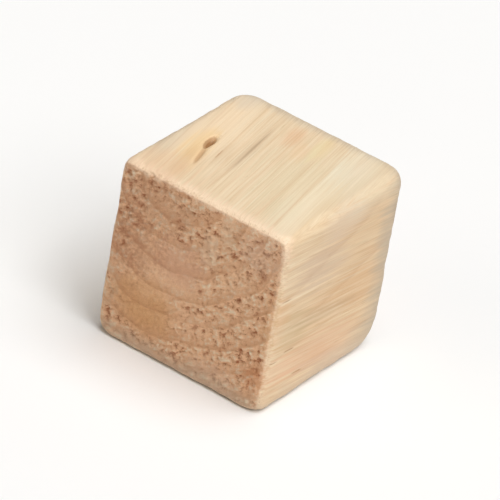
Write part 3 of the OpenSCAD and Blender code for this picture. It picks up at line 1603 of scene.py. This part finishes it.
@dataclass(frozen=True)
class Softwood:
    """Bare softwood: planed and lightly sanded along the grain, rough sawn on the ends.

    Attributes:
        planed: Its colour along the grain.
        sawn: Its colour on the ends.
        edges: Wear and painted highlight round the ends' edges.
        stains_and_shade: Soft changes of colour: staining, and patches of painted shade and warm bounce
            light.
        tint_fade: Where a patch starts to fade and is gone, in squared shares of its reach.
        grime_and_contact_shade: A greyer band along the base, by height in millimetres: grimy handling
            marks and painted contact shade.
        grime_and_shade_stray: How far the band's edge strays.
        resin: Resin in the pocket.
        hair_height: Height of the finest fibres in millimetres.
        fibre_height: Height of the torn ends' finest fibres.
        planed_roughness: Roughness along the grain.
        sawn_roughness: Roughness of the ends.
        resin_roughness: Roughness of the resin.
        gloss: Strength of the mirror reflection.
        layers: How many finer layers the torn ends' colour has.
    """

    planed: PlanedWood = PlanedWood()
    sawn: SawnWood = SawnWood()
    edges: EdgeWearAndHighlight = EdgeWearAndHighlight()
    stains_and_shade: Tuple[StainAndShade, ...] = TOP_MARKS + TOP_TONES + RIGHT_SIDE + FRONT_END + REAR_AND_LEFT
    tint_fade: Pair = (-0.2, 1.4)
    grime_and_contact_shade: Coat = Coat(srgb(206, 184, 160), 0.6, (1.3, 0.1))
    grime_and_shade_stray: float = 1.2
    resin: Resin = Resin()
    hair_height: float = 0.018
    fibre_height: float = 0.07
    planed_roughness: float = 0.55
    sawn_roughness: float = 0.85
    resin_roughness: float = 0.25
    gloss: float = 0.35
    layers: int = 6

    def material(self, timber: Timber) -> bpy.types.Material:
        """Makes the material.

        Args:
            timber: What the block was cut from, and how.

        Returns:
            The material.
        """
        made = bpy.data.materials.new("bare_softwood")
        made.use_nodes = True
        tree = Tree(made.node_tree)
        place = tree.node("ShaderNodeTexCoord", {}, {}).other("Object") * (1 / MM)
        wood = Wood(tree, place, timber, self.layers)
        colour = tree.tint(wood.end, self.planed.colour(wood), self.sawn.colour(wood))
        colour = self.edges.over(colour, wood)
        # Some of these patches are painted shade and warm bounce light, not stains.
        for tint_mark in self.stains_and_shade:
            colour = tint_mark.over(colour, wood, self.tint_fade)
        # Painted contact shade and grimy handling marks: a greyer band along the base.
        soiling_and_shade_height = wood.z + (wood.fibres(Grain.GRIME_EDGE) - MIDDLE) * self.grime_and_shade_stray
        colour, filled = self.resin.over(self.grime_and_contact_shade.over(colour, soiling_and_shade_height), wood)
        bare = tree.mix(wood.end, self.planed_roughness, self.sawn_roughness)
        shader = tree.node("ShaderNodeBsdfPrincipled", {}, {
            "Base Color": colour, "Roughness": tree.mix(filled, bare, self.resin_roughness),
            "Normal": self._normal(wood), "Specular IOR Level": self.gloss,
        })
        tree.node("ShaderNodeOutputMaterial", {}, {"Surface": shader})
        return made

    def _normal(self, wood: Wood) -> Field:
        """Raises the finest fibres, which the mesh is too coarse for.

        Args:
            wood: The wood's fields.

        Returns:
            The normal.
        """
        hair = wood.hair * self.hair_height * (1 - wood.end)
        torn = wood.on_end(EndGrain.TORN_FIBRE) * self.fibre_height * wood.end
        return wood.tree.node("ShaderNodeBump", {}, {
            "Height": hair + torn, "Distance": MM, "Strength": 1.0,
        })


# ---------------------------------------------------------------------------------------------
# The studio
# ---------------------------------------------------------------------------------------------


@dataclass(frozen=True)
class PalePaint:
    """Matt pale paint, for the floor.

    Attributes:
        colour: Its colour.
        roughness: Its roughness.
        gloss: Strength of its mirror reflection.
    """

    colour: Triple = srgb(251, 251, 250)
    roughness: float = 0.9
    gloss: float = 0.1

    def material(self) -> bpy.types.Material:
        """Makes the material.

        Returns:
            The material.
        """
        made = bpy.data.materials.new("pale_floor")
        made.use_nodes = True
        tree = Tree(made.node_tree)
        shader = tree.node("ShaderNodeBsdfPrincipled", {}, {
            "Base Color": self.colour, "Roughness": self.roughness, "Specular IOR Level": self.gloss,
        })
        tree.node("ShaderNodeOutputMaterial", {}, {"Surface": shader})
        return made


@dataclass(frozen=True)
class Lamp:
    """A soft round lamp that looks at the block.

    Attributes:
        name: Its name.
        azimuth: Where it stands round the block, in degrees; 0 is in front and 90 to the right.
        elevation: How high it stands, in degrees.
        distance: How far away it stands, in metres.
        size: Its width, in metres.
        power: Its power, in watts.
        colour: Its colour.
    """

    name: str
    azimuth: float
    elevation: float
    distance: float
    size: float
    power: float
    colour: Triple = (1, 1, 1)

    def light(self, centre: Vector) -> None:
        """Makes the lamp.

        Args:
            centre: What it looks at.
        """
        light = bpy.data.lights.new(self.name, "AREA")
        light.shape = "DISK"
        light.size = self.size
        light.energy = self.power
        light.color = self.colour
        made = bpy.data.objects.new(self.name, light)
        place_round(made, centre, self.azimuth, self.elevation, self.distance)


def place_round(
    thing: bpy.types.Object, centre: Vector, azimuth: float, elevation: float, distance: float,
    roll: float = 0,
) -> None:
    """Puts a lamp or a camera in the scene, looking at a place.

    Args:
        thing: The lamp or camera.
        centre: What it looks at.
        azimuth: Where it stands round the centre, in degrees; 0 is in front and 90 to the right.
        elevation: How high it stands, in degrees.
        distance: How far away it stands, in metres.
        roll: How far it leans, in degrees.
    """
    a, e = math.radians(azimuth), math.radians(elevation)
    towards = Vector((math.sin(a) * math.cos(e), -math.cos(a) * math.cos(e), math.sin(e)))
    lean = Matrix.Rotation(math.radians(roll), 3, "Z").to_quaternion()
    thing.rotation_mode = "QUATERNION"
    thing.rotation_quaternion = towards.to_track_quat("Z", "Y") @ lean
    thing.location = centre + towards * distance
    bpy.context.collection.objects.link(thing)


@dataclass(frozen=True)
class Studio:
    """A pale floor, soft lamps and the camera.

    Attributes:
        centre: What the camera looks at.
        floor_side: Size of the floor, in metres.
        paint: The floor's finish.
        view_azimuth: Where the camera stands round the block, in degrees.
        view_elevation: How high it stands, in degrees.
        view_distance: How far away it stands, in metres.
        view_roll: How far the picture leans clockwise, in degrees.
        lens: Its focal length, in millimetres.
        nearest: The nearest that it sees, in metres.
        farthest: The farthest that it sees, in metres.
        sky: Brightness of the light from all round.
        horizon: Brightness of what is seen beyond the floor.
        lamps: The lamps.
    """

    centre: Vector
    floor_side: float = 12
    paint: PalePaint = PalePaint()
    view_azimuth: float = 30.6
    view_elevation: float = 32.1
    view_distance: float = 0.297
    view_roll: float = 10.3
    lens: float = 440
    nearest: float = 0.02
    farthest: float = 100
    sky: float = 0.12
    horizon: float = 0.86
    lamps: Tuple[Lamp, ...] = (
        Lamp("key", 70, 46, 3.0, 1.8, 31.5),
        Lamp("overhead", 110, 76, 3.0, 2.6, 67.5),
        Lamp("fill", -35, 24, 3.2, 2.4, 13, (1.0, 0.84, 0.7)),
    )

    def build(self) -> None:
        """Makes the floor, the lamps, the sky and the camera."""
        self._floor()
        for lamp in self.lamps:
            lamp.light(self.centre)
        self._sky()
        self._camera()
        bpy.context.scene.view_settings.view_transform = "Standard"

    def _floor(self) -> None:
        """Makes the floor at Z = 0."""
        half = self.floor_side / 2
        mesh = bpy.data.meshes.new("floor")
        corners = [(-half, -half, 0), (half, -half, 0), (half, half, 0), (-half, half, 0)]
        mesh.from_pydata(corners, [], [(0, 1, 2, 3)])
        mesh.materials.append(self.paint.material())
        floor = bpy.data.objects.new("floor", mesh)
        bpy.context.collection.objects.link(floor)
        floor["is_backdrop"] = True

    def _sky(self) -> None:
        """Lights the scene evenly from all round, and shows pale beyond the floor."""
        world = bpy.data.worlds.new("studio_sky")
        world.use_nodes = True
        tree = Tree(world.node_tree)
        seen = tree.node("ShaderNodeLightPath", {}, {})
        strength = tree.mix(seen, self.sky, self.horizon)
        shader = tree.node("ShaderNodeBackground", {}, {"Color": (1, 1, 1), "Strength": strength})
        tree.node("ShaderNodeOutputWorld", {}, {"Surface": shader})
        bpy.context.scene.world = world

    def _camera(self) -> None:
        """Makes the camera."""
        data = bpy.data.cameras.new("camera")
        data.lens = self.lens
        data.clip_start = self.nearest
        data.clip_end = self.farthest
        camera = bpy.data.objects.new("camera", data)
        place_round(
            camera, self.centre, self.view_azimuth, self.view_elevation, self.view_distance, self.view_roll,
        )
        bpy.context.scene.camera = camera


def main() -> None:
    """Builds the block and its studio, in order, and reports each piece."""
    packed = [list(map(float, corner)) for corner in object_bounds()]
    timber = Timber(Block.of_node(NODE))
    piece = WoodenCube(timber).build(Softwood().material(timber))
    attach(piece, "root")
    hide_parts(NODE)
    log.info("%s: %d faces", piece.name, len(piece.data.polygons))

    low, high = (Vector(corner) for corner in packed)
    Studio((low + high) / 2).build()
    log.info("studio: floor, lamps and camera")


if __name__ == "__main__":
    logging.basicConfig(level=logging.INFO, format="%(name)s: %(message)s")
    main()
